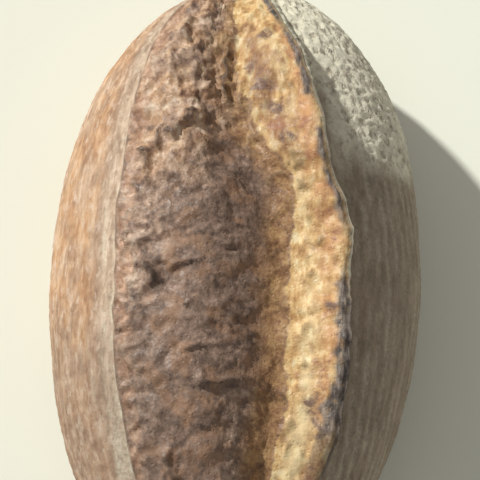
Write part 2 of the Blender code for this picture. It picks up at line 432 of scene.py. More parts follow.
# Light and floor
KEY_DIRECTION = Vector((-0.685, 0.47, 0.555))
KEY_COLOUR = (1.0, 1.0, 0.95)
KEY_STRENGTH = 3.6
KEY_ANGLE = math.radians(3)
SKY_COLOUR = (1.0, 0.98, 0.94, 1.0)
SKY_STRENGTH = 0.30
FLOOR_SIZE = 6.0
FLOOR_GAP = 0.0003
FLOOR_COLOURS = ((0.93, 0.94, 0.83), (0.89, 0.90, 0.79))


def clamp(value, low=0.0, high=1.0):
    return max(low, min(high, value))


def smooth_step(low, high, value):
    share = clamp((value - low) / (high - low))
    return share * share * (3 - 2 * share)


def bell(distance):
    return math.exp(-distance * distance)


def taper(t, powers):
    """1 at the middle of the loaf, 0 at its two tips."""
    along, root = powers
    return (1 - min(1.0, abs(t)) ** along) ** root


def rough(point, size, octaves=3):
    """Smooth noise of about -1 to 1, whose largest lumps measure about size."""
    return noise.fractal(point / size, 1.0, 2.0, octaves) * 0.8


def line_noise(y, length, row):
    """Noise of about -1 to 1 along the loaf, another one for each row."""
    return noise.noise(Vector((row, y / length, row))) * 1.6


def cells(point, size):
    """Of the nearest cell: distance to its middle and to its border, in sizes, and a number from 0 to 1."""
    distances, middles = noise.voronoi(point / size)
    return distances[0], distances[1] - distances[0], 0.5 + 0.5 * noise.cell(middles[0] * 7.0)


@lru_cache(maxsize=None)
def section(t):
    """Half width, widest height, rise above it and drop below it, of the plain loaf at t."""
    shoulder = 1 + SHOULDER * bell((t - SHOULDER_PLACE) / SHOULDER_REACH)
    half_width = LOAF_WIDTH / 2 * taper(t, PLAN_POWERS) * shoulder
    widest = WIDEST_HEIGHT + (TIP_HEIGHT - WIDEST_HEIGHT) * abs(t) ** 3
    rise = (CRUST_HEIGHT - WIDEST_HEIGHT) * taper(t, TOP_POWERS)
    drop = (WIDEST_HEIGHT + BASE_CUT) * taper(t, UNDERSIDE_POWERS)
    return half_width, widest, rise, drop


def crust_point(angle, t, y):
    """A point of the plain loaf: angle 0 is the widest line on +X, 90 degrees the top."""
    half_width, widest, rise, drop = section(t)
    power = 2 / (UPPER_SECTION_POWER if angle >= 0 else LOWER_SECTION_POWER)
    across = math.copysign(abs(math.cos(angle)) ** power, math.cos(angle))
    climb = abs(math.sin(angle)) ** power
    height = widest + rise * climb if angle >= 0 else widest - drop * climb
    return Vector((half_width * across, y, max(0.0, height)))


def upper_angle(x, t):
    """The angle at which the upper crust is at x."""
    share = clamp(abs(x) / max(section(t)[0], 1e-6))
    angle = math.acos(share ** (UPPER_SECTION_POWER / 2))
    return angle if x >= 0 else math.pi - angle


@lru_cache(maxsize=None)
def base_edge_angle(t):
    """The angle, below the widest line, where the wall meets the flat base."""
    _, widest, _, drop = section(t)
    reach = clamp(widest / max(drop, 1e-6)) ** (LOWER_SECTION_POWER / 2)
    return -min(math.asin(reach), STEEPEST_WALL)


@lru_cache(maxsize=None)
def ear_x(t):
    if t > 0:
        drift = EAR_BEND * smooth_step(*EAR_BEND_REACH, t) + EAR_DRIFT_FAR * t ** 2
    else:
        drift = -EAR_SPREAD * smooth_step(*EAR_SPREAD_REACH, -t)
    return section(t)[0] * (EAR_SHARE - drift)


def ear_foot_x(t):
    return ear_x(t) + EAR_OUTER_FOOT * min(1.0, section(t)[0] / NARROW_END)


@lru_cache(maxsize=None)
def edge_x(t):
    return -section(t)[0] * (EDGE_SHARE + EDGE_DRIFT * t * abs(t))


@lru_cache(maxsize=None)
def split_fade(t):
    """1 along most of the split, 0 past its two ends."""
    return 1 - smooth_step(*SPLIT_FADES, abs(t - SPLIT_CENTRE * (1 - t * t)))


def ear_profile(offset):
    """How far the ear is lifted, from 0 to 1, at an offset across its line; outwards is positive."""
    if offset > EAR_HALF_THICKNESS:
        return 1 - smooth_step(EAR_HALF_THICKNESS, EAR_OUTER_FOOT, offset)
    if offset > -EAR_HALF_THICKNESS:
        return 1.0
    inward = clamp((-offset - EAR_HALF_THICKNESS) / EAR_INNER_FOOT)
    return (1 - inward) ** EAR_INNER_CURVE


@lru_cache(maxsize=None)
def ear_lift(t, y):
    """Height of the ear's lip at t, uneven along its length, with small nicks."""
    ends = 1 - smooth_step(*EAR_FADES, abs(t - SPLIT_CENTRE))
    waves = EAR_WAVE * rough(Vector((0.0, y, 0.0)), EAR_WAVE_LENGTH)
    nicks = sum(depth * line_noise(y, length, row) for depth, length, row in EAR_NICKS)
    return EAR_RISE * ends * (1 + waves + nicks)


def valley(share, t):
    place = max(VALLEY_INMOST, VALLEY_PLACE - VALLEY_DRIFT * t * t) if t > 0 else VALLEY_PLACE
    return VALLEY_DEPTH * bell((share - place) / VALLEY_REACH) * smooth_step(*VALLEY_START, share)


def split_height(share, t):
    """Height of the split above the old crust's line; share runs from its left edge to the ear."""
    belly = BELLY_RISE * math.sin(math.pi * clamp(share) ** 0.8) ** 0.8 if 0 < share < 1 else 0.0
    return belly - valley(share, t)


def split_point(x, t, y):
    """A point of the loaf's top that started at x, with the split and the ear formed."""
    half_width, widest, rise, _ = section(t)
    offset = x - ear_x(t)
    share = 1 + offset / (ear_x(t) - edge_x(t)) if offset < 0 else 1.0
    outside = 1 - smooth_step(0, EAR_OUTER_FOOT, offset)
    size = split_fade(t) * half_width / (LOAF_WIDTH / 2)
    lift = ear_lift(t, y) * ear_profile(offset)
    across = clamp(abs(x) / max(half_width, 1e-6)) ** UPPER_SECTION_POWER
    z = widest + rise * (1 - across) ** (1 / UPPER_SECTION_POWER) + split_height(share, t) * size * outside
    return Vector((x + lift * math.sin(EAR_LEAN), y, z + lift * math.cos(EAR_LEAN)))


def base_point(share, t, y):
    """A point of the underside: share runs from -1 at the left wall to 1 at the right one."""
    wall = base_edge_angle(t)
    corner = crust_point(wall, t, y)
    if corner.z <= 1e-7:
        return Vector((corner.x * share, y, 0.0))
    angle = -math.pi / 2 + (wall + math.pi / 2) * abs(share)
    point = crust_point(angle, t, y)
    return Vector((math.copysign(point.x, share), y, point.z))


def form_point(zone, share, t):
    """A point of the smooth loaf: share runs from 0 to 1 across the zone."""
    y = LOAF_LENGTH / 2 * t
    if zone == "base_right":
        return base_point(share, t, y)
    if zone == "base_left":
        return base_point(share - 1, t, y)
    if zone == "wall_right":
        return crust_point(base_edge_angle(t) * (1 - share), t, y)
    if zone == "wall_left":
        point = crust_point(base_edge_angle(t) * share, t, y)
        return Vector((-point.x, y, point.z))
    if zone == "crust_right":
        return crust_point(upper_angle(ear_foot_x(t), t) * share, t, y)
    if zone == "ear_outer":
        return split_point(ear_foot_x(t) + (ear_x(t) - ear_foot_x(t)) * share, t, y)
    if zone == "split":
        return split_point(ear_x(t) + (edge_x(t) - ear_x(t)) * share, t, y)
    start = upper_angle(edge_x(t), t)
    return crust_point(start + (math.pi - start) * share, t, y)


def tear_depth(point):
    """Depth of the tears at a point, seen from above."""
    here = Vector((point.x, point.y))
    depth = 0.0
    for x0, y0, x1, y1, width, deepest in TEARS:
        start = Vector((x0, y0))
        run = Vector((x1, y1)) - start
        share = clamp((here - start).dot(run) / run.length_squared)
        away = (here - start - run * share).length
        if away > TEAR_REACH * width:
            continue
        ragged = rough(point, TEAR_WANDER, 2) + TEAR_FINE_SHARE * rough(point, TEAR_WANDER / 3, 2)
        away += ragged * width * TEAR_RAGGEDNESS
        depth = max(depth, deepest * bell(max(0.0, away) / width))
    return depth


def craggy(point):
    """0 over the calm middle of the split, 1 at its left margin and +Y end."""
    wander = CRAGGY_WANDER * rough(point, CRAGGY_WANDER_SIZE, 2)
    left = smooth_step(*LEFT_MARGIN, point.x + wander)
    return max(left, smooth_step(*FAR_CRAGS, point.y + wander))


def split_relief(point, crags):
    """Lumps and crosswise folds of the torn surface, as a height along its normal."""
    lumps = LUMP_HEIGHT * rough(point, LUMP_SIZE)
    bend = FOLD_BEND * rough(point, FOLD_WANDER, 2)
    warped = Vector((point.x / FOLD_WIDTH, point.y / FOLD_SPACING + bend, point.z / FOLD_WIDTH))
    folds = FOLD_HEIGHT * (1 - 2 * abs(noise.noise(warped)) ** FOLD_SHARPNESS)
    return lumps * (CALM_LUMPS + crags) + folds * (CALM_FOLDS + CRAGGY_FOLDS * crags)


def crust_relief(point):
    off_base = smooth_step(*BASE_CLEARANCE, point.z)
    dents = rough(point, DENT_SIZE, 2) + SMALL_DENTS * rough(point, SMALL_DENT_SIZE, 2)
    return DENT_HEIGHT * dents * off_base


def gold_end(t):
    """Share at which the pale inner side of the ear ends."""
    if t < 0:
        return GOLD_END + GOLD_NEAR_RISE * smooth_step(*GOLD_NEAR, -t)
    depth, place, reach = GOLD_DIP
    return GOLD_END - depth * bell((t - place) / reach) + GOLD_FAR_RISE * smooth_step(*GOLD_FAR, t)


@lru_cache(maxsize=None)
def crack_place(t):
    """Share at which the thin crack runs along the left edge of the split."""
    y = LOAF_LENGTH / 2 * t
    slow, quick = CRACK_WANDER
    return CRACK_PLACE - slow - quick + slow * line_noise(y, 0.028, 2.0) + quick * line_noise(y, 0.007, 4.0)


def patches(point, table):
    """1 inside the ragged patches of a table, 0 outside."""
    most = 0.0
    warped = point + noise.noise_vector(point / PATCH_WARP_SIZE) * PATCH_WARP
    for x, y, radius in table:
        away = math.hypot(warped.x - x, warped.y - y) / radius
        if away < PATCH_REACH:
            away += PATCH_RAGGEDNESS * rough(point, PATCH_RAG_SIZE, 3)
            most = max(most, 1 - smooth_step(*PATCH_EDGE, away))
    return most


def wrinkles(point, t):
    """Smooth swelling and thin broken creases, arched across the split."""
    middle_x = (ear_x(t) + edge_x(t)) / 2
    arch = WRINKLE_ARCH * (point.x - middle_x) ** 2
    along = (point.y + arch) / WRINKLE_SPACING + WRINKLE_BEND * rough(point, WRINKLE_BEND_SIZE, 2)
    swell = noise.noise(Vector((point.x / WRINKLE_LENGTH, along, point.z / WRINKLE_TALLNESS)))
    along = along * SMALL_WRINKLES_PER_WRINKLE + SMALL_WRINKLE_SHIFT
    small = noise.noise(Vector((point.x / SMALL_WRINKLE_LENGTH, along, point.z / SMALL_WRINKLE_TALLNESS)))
    broken = smooth_step(*CREASE_BREAKS, noise.noise(point / CREASE_BREAK_SIZE + CREASE_SHIFT))
    crease = bell(swell / CREASE_WIDTH) * broken
    broken = smooth_step(*FINE_CREASE_BREAKS, noise.noise(point / FINE_CREASE_BREAK_SIZE + FINE_CREASE_SHIFT))
    fine_crease = bell(small / FINE_CREASE_WIDTH) * broken
    return swell + 0.4 * small, max(crease, 0.6 * fine_crease)


def torn_areas(share, t, point):
    """How far the torn surface is of each kind at a point, each from 0 to 1."""
    blended = smooth_step(*BLEND_START, t)
    edge = gold_end(t) + (GOLD_SWAY + GOLD_SWAY_FAR * blended) * rough(point, GOLD_SWAY_SIZE, 3)
    reach = GOLD_FADE + GOLD_FADE_FAR * blended
    gold = 1 - smooth_step(edge - reach, edge + reach, share)
    # shade: the ochre band of painted shadow beside the gold, partly browned crumb
    from_edge = share - edge + SHADE_SWAY * rough(point, SHADE_SWAY_SIZE)
    from_edge -= SHADE_NEAR * smooth_step(*SHADE_NEAR_START, -t)
    shade = (1 - gold) * (1 - smooth_step(*SHADE_WIDTH, from_edge))
    sway = rough(point, MARGIN_SWAY_SIZE)
    drift = MARGIN_DRIFT * smooth_step(*MARGIN_DRIFT_START, t)
    pale = smooth_step(*MARGIN_START, share + drift + MARGIN_SWAY * sway)
    inner = DIM_FAR_INSIDE * (1 - smooth_step(*DIM_FAR_END, share + DIM_FAR_SWAY * sway))
    far = smooth_step(*FAR_PALE, point.y - inner + FAR_SWAY * rough(point, FAR_SWAY_SIZE, 2))
    far *= (1 - 0.7 * shade) * (1 - gold)
    # Painted light: the middle paler towards -Y
    near = smooth_step(*NEAR_PALE_START, point.y) * (1 - shade)
    near_painted_light = NEAR_PALE * near * bell((share - NEAR_PALE_PLACE) / NEAR_PALE_REACH)
    pale = max(pale, far, near_painted_light) * (1 - gold)
    peach = smooth_step(*PEACH_STRIP, share + PEACH_SWAY * rough(point, PEACH_SWAY_SIZE, 2))
    peach *= smooth_step(*PEACH_BREAKS, rough(point, PEACH_BREAK_SIZE, 3))
    return blended, gold, shade, pale, far, peach


def gold_marks(share, t, point, blended):
    """Toasted, browned and cream-coloured parts of the ear's inner side, each from 0 to 1; the cream is
    partly painted light and shade.
    """
    toasted = smooth_step(-0.60 - 0.3 * blended, 0.40, rough(point, TOAST_SIZE)) * (0.90 + 0.10 * blended)
    toast = bell((share - TOAST_PLACE) / TOAST_REACH) * toasted
    place = BROWNED_PLACE + BROWNED_DRIFT * (t - 0.5)
    browned = smooth_step(*BROWNED_START, t) * (1 - smooth_step(*BROWNED_END, t))
    browned *= bell((share - place) / BROWNED_REACH)
    browned *= smooth_step(*BROWNED_BREAKS, rough(point, BROWNED_BREAK_SIZE, 3))
    cream = bell((share - CREAM_PLACE) / CREAM_REACH)
    cream *= smooth_step(*CREAM_BREAKS, rough(point + CREAM_SHIFT, CREAM_BREAK_SIZE))
    # Painted shade: less cream round the middle; painted light: more cream near -Y
    cream *= 1 - 0.8 * bell((t - CREAM_GAP_PLACE) / CREAM_GAP_REACH)
    near_cream_painted_light = smooth_step(*CREAM_NEAR_START, -t) * bell((share - CREAM_NEAR_PLACE) / CREAM_NEAR_REACH)
    return toast, browned, max(cream, 0.8 * near_cream_painted_light)


def torn_detail(share, t, point, crags):
    """Fine height of the torn surface, and the marks that colour it."""
    warped = point + noise.noise_vector(point / TORN_WARP_SIZE) * TORN_WARP
    _, clump_border, clump_number = cells(warped, CLUMP_SIZE)
    _, grain_border, grain_number = cells(warped, GRAIN_SIZE)
    _, crag_border, crag_number = cells(warped + CRAG_SHIFT, CRAG_SIZE)
    clump = smooth_step(0.0, CLUMP_SLOPE, clump_border)
    grain = smooth_step(0.0, GRAIN_SLOPE, grain_border)
    crag = smooth_step(0.0, CRAG_SLOPE, crag_border)
    patchy = 0.5 + 0.5 * rough(point, PATCHY_SIZE, 2)
    blended, gold, shade, pale, far, peach = torn_areas(share, t, point)
    middle = (1 - gold) * (1 - pale)
    swell, crease = wrinkles(point, t)

    height = CRAG_HEIGHT * (crag - 0.75) * crags * (1 - gold) * (1 - 0.5 * far)
    clumpy = pale * (1 - 0.35 * peach) * (1 - 0.65 * far) + 0.20 * middle
    height += CLUMP_HEIGHT * (clump - 0.75) * clumpy * (0.5 + patchy)
    height += GRAIN_HEIGHT * (grain - 0.7) * (pale + 0.55 * middle + 0.35 * gold)
    height += ROUGHNESS_HEIGHT * rough(point, ROUGHNESS_SIZE, 3) * (pale + 0.3 * middle + 0.7 * far)
    height += FAR_LUMP_HEIGHT * rough(point, FAR_LUMP_SIZE, 2) * far
    height += GOLD_LUMP_HEIGHT * rough(point, GOLD_LUMP_SIZE, 3) * gold
    height += (WRINKLE_SWELL * swell - WRINKLE_DEPTH * crease) * (middle + 0.35 * pale)
    tear = tear_depth(warped) * (1 - 0.9 * gold)
    height -= tear

    pit_near, _, pit_number = cells(Vector((warped.x, warped.y * PIT_STRETCH, warped.z)), PIT_SIZE)
    pit = 0.8 * bell(pit_near / PIT_REACH) if pit_number < PITTED else 0.0
    pit = max(pit, patches(point, KHAKI_PITS))
    streak = noise.noise(Vector((point.x / STREAK_WIDTH, point.y / STREAK_LENGTH, point.z / STREAK_WIDTH)))
    height += (STREAK_HEIGHT * streak - PIT_DEPTH * pit) * gold

    # Painted shade: darkening in creases, clefts between clumps, gaps between crags and tears
    cleft = 1 - smooth_step(0.0, CLEFT_WIDTH, clump_border)
    gap = 1 - smooth_step(0.0, GAP_WIDTH, crag_border)
    dark = crease * (0.65 * middle + 0.3 * pale) + cleft * clumpy * (0.15 + 0.55 * patchy) * (1 - 0.5 * peach)
    dark = max(dark, gap * crags * (1 - gold) * (0.6 - 0.4 * far), smooth_step(*DARK_TEARS, tear))
    tint = 0.45 * clump_number + 0.25 * grain_number + 0.30 * crag_number
    toast, browned, cream = gold_marks(share, t, point, blended)
    marks = {
        "gold": gold,
        "shade": shade,
        "pale": pale,
        "peach": peach,
        "far": far,
        "tint": tint,
        "crease": clamp(dark),
        "pit": pit * gold,
        "toast": clamp(toast * gold),
        "browned": clamp(browned * gold),
        "cream": clamp(cream * gold * (1 - browned)),
        "spot": patches(point, BURNT_PATCHES),
        "rust": patches(point, RUSTY_PATCHES),
    }
    return height, marks


def crust_distance(zone, share, t):
    """Rough distance over the crust from the split's edges, for marks that run along the loaf."""
    half_width, widest, rise, _ = section(t)
    if zone == "ear_outer":
        return 0.0
    if zone == "crust_right":
        return (1 - share) * (rise + half_width - ear_x(t)) * 0.85
    if zone == "split":
        return max(0.0, share - crack_place(t)) * (ear_x(t) - edge_x(t))
    if zone == "crust_left":
        rim = (1 - crack_place(t)) * (ear_x(t) - edge_x(t))
        return rim + share * (rise + half_width + edge_x(t)) * 0.85
    reach = (rise + half_width / 2) * 0.85
    if zone == "wall_left":
        return reach + share * widest * 1.3
    if zone == "wall_right":
        return reach + (1 - share) * widest * 1.3
    return reach + widest * 1.3


def right_side(zone, t, point):
    """1 on the crust right of the ear, 0 on the left crust, blended round the tips."""
    side = float(zone in ("base_right", "wall_right", "crust_right", "ear_outer"))
    tip = smooth_step(*TIP_BLEND, abs(t))
    place = point.x + rough(point, TIP_BLEND_SIZE) * TIP_BLEND_WANDER
    return side * (1 - tip) + tip * smooth_step(-TIP_BLEND_REACH, TIP_BLEND_REACH, place)


def floury_end(t, point):
    """1 where the flour lies thickly, on top of the right crust towards +Y, 0 elsewhere."""
    low = FLOURY_SLANT * (1 - smooth_step(*FLOURY_HEIGHTS, point.z))
    onset = smooth_step(*FLOURY_START, t - low + FLOURY_WANDER * rough(point, FLOURY_WANDER_SIZE))
    return onset * smooth_step(*FLOURY_FOOT, point.z + FLOURY_FOOT_SWAY * rough(point, FLOURY_FOOT_SIZE))


def crust_detail(zone, share, t, point):
    """Fine height and the flour of the old crust."""
    distance = crust_distance(zone, share, t)
    right = right_side(zone, t, point)
    warped = Vector((point.x, point.y * FLOUR_PLATE_STRETCH, point.z))
    warped += noise.noise_vector(point / FLOUR_WARP_SIZE) * FLOUR_WARP
    _, plate_border, plate_number = cells(warped, FLOUR_PLATE_SIZE)
    plate = smooth_step(0.0, FLOUR_PLATE_SLOPE, plate_border)
    blister_near, _, blister_number = cells(point, BLISTER_SIZE)
    blister = max(0.0, 1 - (blister_near / BLISTER_REACH) ** 2) if blister_number > BLISTER_FREE else 0.0
    skin = rough(point, SKIN_SIZE, 2)

    wobble = RING_MARK_WOBBLE * rough(point, RING_MARK_WOBBLE_SIZE, 2)
    ring_mark = math.sin(2 * math.pi * (distance / RING_MARK_SPACING + wobble))
    streaky = rough(Vector((point.x, point.y * FLOUR_STREAK_STRETCH, point.z)), FLOUR_STREAK_SIZE)
    rings = smooth_step(*FLOUR_RINGS, 0.6 * ring_mark + streaky)

    off_base = smooth_step(0.0, CRUST_DETAIL_FOOT, point.z)
    far = floury_end(t, point) * right
    if zone in ("ear_outer", "crust_right"):
        away = distance + FLOURY_GAP_SWAY * rough(point, FLOURY_GAP_SIZE)
        far *= max(smooth_step(*FLOURY_GAP, away), smooth_step(*FLOURY_GAP_END, t))
    bumpy = 0.20 + 0.80 * far + 0.27 * (1 - right) * (1 - smooth_step(*BUMPY_BAND, distance))
    height = FLOUR_PLATE_HEIGHT * (plate - 0.7) * bumpy * (0.6 + 0.8 * plate_number)
    height += BLISTER_HEIGHT * blister + SKIN_HEIGHT * skin + RING_MARK_HEIGHT * ring_mark * (1 - far)

    stretched = Vector((point.x * 1.5, point.y * 0.30, point.z))
    broken = smooth_step(*BAND_BREAKS, rough(stretched, BAND_BREAK_SIZE))
    place, reach = FIRST_BAND
    first = bell((distance - place) / reach) * (1 - 0.5 * smooth_step(*FIRST_BAND_THINS, t))
    place, reach = SECOND_BAND
    second = bell((distance - place - SECOND_BAND_SWAY * streaky) / reach)
    haze = 1 - smooth_step(*FLOUR_HAZE, distance + FLOUR_HAZE_SWAY * streaky)
    near_end = smooth_step(*HAZE_NEAR_START, -t)
    flour = max(first * (0.22 + 0.58 * broken), second * broken * 0.65, (0.24 + 0.40 * near_end) * haze)
    flour = max(flour, 0.34 * rings * (0.45 + 0.55 * rough(point, FLOUR_THINNING_SIZE)))
    flour = flour * (1 - right) + (0.16 + 0.20 * rings + 0.95 * far) * right
    flour *= smooth_step(*FLOUR_FOOT, point.z)
    orange = smooth_step(*ORANGE_START, distance) * (1 - 0.6 * smooth_step(*ORANGE_FADES, -t))
    # crease: painted shade in the cracks between the crust's flour plates
    marks = {"flour": clamp(flour), "crease": (1 - plate) * 0.15, "tint": plate_number,
             "right": right, "floury": far, "orange": orange}
    return height * off_base, marks


def lip_marks(inward, y):
    """Burnt edge and pale rim of the ear, at a distance inwards from the middle of its lip."""
    near = smooth_step(*BURN_NEAR_START, y)
    reach = BURN_WIDTH + BURN_NEAR_WIDTH * near + BURN_END_WIDTH * smooth_step(*BURN_END_START, y)
    reach += 0.0010 * line_noise(y, 0.010, 6.0) + 0.0006 * line_noise(y, 0.004, 8.0)
    missing = smooth_step(0.30, 0.55, line_noise(y, 0.022, 9.0)) * (1 - near)
    gap = bell((y - BURN_GAP_PLACE) / BURN_GAP_REACH)
    missing = max(missing, 0.6 * smooth_step(*BURN_END_FADES, y), gap)
    edge = 0.0004 - BURN_OUTSIDE * near + 0.0006 * line_noise(y, 0.006, 3.0)
    burn = smooth_step(edge - 0.0008, edge + 0.0008, inward)
    burn *= 1 - smooth_step(reach, reach + 0.0016, inward)
    rim = smooth_step(-0.0046, -0.0030, inward) * (1 - smooth_step(edge - 0.0010, edge + 0.0006, inward))
    rim *= smooth_step(-0.75, -0.15, line_noise(y, 0.005, 14.0)) * (1 - 0.5 * near)
    return burn * (1 - 0.8 * missing), rim


def surface(zone, share, t, point):
    """Height along the normal and the marks that colour the loaf, at a point of its smooth form."""
    names = ("torn", "gold", "shade", "pale", "peach", "far", "tint", "flour", "crease", "pit", "toast",
             "browned", "cream", "spot", "rust", "burn", "rim", "base", "right", "floury", "orange", "dusky_painted_shade")
    marks = dict.fromkeys(names, 0.0)
    # Painted shade: the left side darker towards -Y
    if zone in ("split", "crust_left", "wall_left"):
        across = smooth_step(*DUSKY_EDGE, share) if zone == "split" else 1.0
        marks["dusky_painted_shade"] = DUSKY * smooth_step(*DUSKY_START, -t) * across
    fine, crust_marks = crust_detail(zone, share, t, point)
    plain = crust_relief(point)
    marks.update(crust_marks)
    lips = smooth_step(0.05, 0.5, split_fade(t))
    if zone != "split":
        marks["base"] = 1 - smooth_step(0.001, 0.016, point.z)
        if zone == "ear_outer":
            inward = -(1 - share) * EAR_OUTER_FOOT
            burn, rim = lip_marks(inward, point.y)
            marks["burn"] = burn * lips
            marks["rim"] = rim * lips
            marks["flour"] *= 0.5
            fine *= 0.4
        return plain + fine, marks

    ear_side, ear_full, edge_full, edge_side = TORN_EDGES
    fade = split_fade(t)
    crack = crack_place(t)
    torn = smooth_step(ear_side, ear_full, share) * (1 - smooth_step(edge_full, edge_side, share)) * fade
    crags = craggy(point)
    inside = smooth_step(0.0, 0.05, share) * (1 - smooth_step(crack - 0.020, crack - 0.004, share)) * fade
    height = plain * (1 - torn) + split_relief(point, crags) * torn
    height -= CRACK_DEPTH * bell((share - crack) / CRACK_REACH) * fade
    height += RIM_HEIGHT * bell((share - crack - 0.016) / 0.012) * fade
    torn_fine, torn_marks = torn_detail(share, t, point, crags)
    height += torn_fine * inside + fine * smooth_step(crack, crack + 0.02, share)

    shown = (1 - smooth_step(crack - 0.006, crack + 0.002, share)) * smooth_step(0.0, 0.25, fade)
    for name, value in torn_marks.items():
        marks[name] = value * shown + marks[name] * (1 - shown)
    marks["torn"] = shown
    marks["flour"] = crust_marks["flour"] * (1 - shown)
    burn, rim = lip_marks(share * (ear_x(t) - edge_x(t)), point.y)
    marks["burn"] = burn * lips
    marks["rim"] = rim * lips
    # Painted shade in the thin crack along the split's left edge
    broken = smooth_step(-0.5, 0.1, line_noise(point.y, 0.009, 12.0))
    marks["crease"] = max(marks["crease"], bell((share - crack + 0.002) / 0.007) * 0.95 * broken * fade)
    return height, marks


def zone_at(column):
    """The zone that a column line lies in, and its share of the way across it."""
    start = 0
    for zone, columns in ZONES:
        if column < start + columns:
            break
        start += columns
    return zone, (column - start) / columns


def grid_faces():
    """Faces of the tube of rings, and of its two closed tips."""
    def corner(ring, column):
        return ring * COLUMNS + column % COLUMNS

    faces = []
    for ring in range(RINGS - 1):
        for column in range(COLUMNS):
            faces.append((corner(ring, column), corner(ring, column + 1),
                          corner(ring + 1, column + 1), corner(ring + 1, column)))
    near_tip = RINGS * COLUMNS
    far_tip = near_tip + 1
    for column in range(COLUMNS):
        faces.append((near_tip, corner(0, column + 1), corner(0, column)))
        faces.append((far_tip, corner(RINGS - 1, column), corner(RINGS - 1, column + 1)))
    return faces


def lay_out(mesh):
    """Spreads the tube of rings flat for a baked picture: columns across, rings upwards."""
    layout = mesh.uv_layers.new(name="OFBake")
    for face in mesh.polygons:
        lines = [vertex % COLUMNS for vertex in face.vertices if vertex < RINGS * COLUMNS]
        wraps = max(lines) - min(lines) > COLUMNS / 2
        for loop, vertex in zip(face.loop_indices, face.vertices):
            if vertex < RINGS * COLUMNS:
                ring, line = divmod(vertex, COLUMNS)
                line += COLUMNS if wraps and line < COLUMNS / 2 else 0
            else:
                ring = -1 if vertex == RINGS * COLUMNS else RINGS
                line = (COLUMNS - 0.5) if wraps else sum(lines) / len(lines)
            layout.data[loop].uv = (line / COLUMNS, (ring + 1) / (RINGS + 1))


def make_loaf():
    """The loaf's visible mesh: the smooth form, then its relief along the normals."""
    places = []
    for ring in range(RINGS):
        latitude = math.pi * ((ring + 1) / (RINGS + 1) - 0.5)
        t = math.sin(latitude - RING_EVENNESS * math.sin(2 * latitude))
        places.extend((*zone_at(column), t) for column in range(COLUMNS))
    places.extend([("base_right", 0.0, -1.0), ("base_right", 0.0, 1.0)])
    points = [form_point(*place) for place in places]
    mesh = bpy.data.meshes.new("baked_loaf")
    mesh.from_pydata(points, [], grid_faces())
    mesh.update()
    normals = np.empty(len(points) * 3, np.float32)
    mesh.vertex_normals.foreach_get("vector", normals)
    normals = normals.reshape(-1, 3)

    marks = {}
    shaped = np.array([point[:] for point in points])
    for index, (place, point) in enumerate(zip(places, points)):
        height, found = surface(*place, point)
        shaped[index] += normals[index] * height
        for name, value in found.items():
            marks.setdefault(name, []).append(value)
    resting = np.array([point.z for point in points]) < 1e-6
    shaped[resting, 2] = 0.0
    for axis in (0, 1):
        shaped[:, axis] -= (shaped[:, axis].min() + shaped[:, axis].max()) / 2
    mesh.vertices.foreach_set("co", shaped.astype(np.float32).ravel())
    mesh.update()
    for name, values in marks.items():
        attribute = mesh.attributes.new(name, "FLOAT", "POINT")
        attribute.data.foreach_set("value", np.array(values, np.float32))
    lay_out(mesh)
    mesh.shade_smooth()
    loaf = bpy.data.objects.new("baked_loaf", mesh)
    bpy.context.scene.collection.objects.link(loaf)
    return loaf


class Graph:
    """Adds the nodes of one material, and joins them."""

    def __init__(self, name):
        self.material = bpy.data.materials.new(name)
        self.material.use_nodes = True
        self.tree = self.material.node_tree
        self.shader = self.tree.nodes["Principled BSDF"]
        self.place = self.node("ShaderNodeTexCoord").outputs["Object"]

    def node(self, kind, **settings):
        node = self.tree.nodes.new(kind)
        for key, value in settings.items():
            setattr(node, key, value)
        return node

    def put(self, socket, value):
        if isinstance(value, bpy.types.NodeSocket):
            self.tree.links.new(value, socket)
        else:
            socket.default_value = value

    def mark(self, name):
        return self.node("ShaderNodeAttribute", attribute_name=name).outputs["Fac"]

    def math(self, operation, first, second=0.0):
        node = self.node("ShaderNodeMath", operation=operation)
        self.put(node.inputs[0], first)
        self.put(node.inputs[1], second)
        return node.outputs[0]

    def add(self, *values):
        total = values[0]
        for value in values[1:]:
            total = self.math("ADD", total, value)
        return total

    def times(self, *values):
        total = values[0]
        for value in values[1:]:
            total = self.math("MULTIPLY", total, value)
        return total

    def noise(self, size, detail=3.0, stretch=(1, 1, 1), shift=0.0):
        """Noise from 0 to 1 whose lumps measure size, drawn out by stretch along each axis."""
        mapping = self.node("ShaderNodeMapping")
        self.put(mapping.inputs["Vector"], self.place)
        self.put(mapping.inputs["Scale"], tuple(1 / s for s in stretch))
        self.put(mapping.inputs["Location"], (shift, shift, shift))
        node = self.node("ShaderNodeTexNoise")
        self.put(node.inputs["Vector"], mapping.outputs[0])
        self.put(node.inputs["Scale"], 1 / size)
        self.put(node.inputs["Detail"], detail)
        self.put(node.inputs["Roughness"], 0.58)
        return node.outputs[0]

    def pores(self, size):
        """Distance from the nearest of many scattered points, in parts of size."""
        node = self.node("ShaderNodeTexVoronoi")
        self.put(node.inputs["Vector"], self.place)
        self.put(node.inputs["Scale"], 1 / size)
        return node.outputs["Distance"]

    def remap(self, value, low, high, to_low=0.0, to_high=1.0):
        node = self.node("ShaderNodeMapRange", interpolation_type="SMOOTHSTEP")
        for name, number in (("Value", value), ("From Min", low), ("From Max", high), ("To Min", to_low),
                             ("To Max", to_high)):
            self.put(node.inputs[name], number)
        return node.outputs[0]

    def mix(self, factor, first, second):
        node = self.node("ShaderNodeMix", data_type="RGBA")
        self.put(node.inputs[0], factor)
        for socket, colour in ((node.inputs[6], first), (node.inputs[7], second)):
            self.put(socket, (*colour, 1) if isinstance(colour, tuple) else colour)
        return node.outputs[2]

    def ramp(self, value, stops):
        node = self.node("ShaderNodeValToRGB")
        elements = node.color_ramp.elements
        elements[0].position, elements[0].color = stops[0][0], (*stops[0][1], 1)
        elements[1].position, elements[1].color = stops[-1][0], (*stops[-1][1], 1)
        for position, colour in stops[1:-1]:
            elements.new(position).color = (*colour, 1)
        self.put(node.inputs[0], value)
        return node.outputs[0]


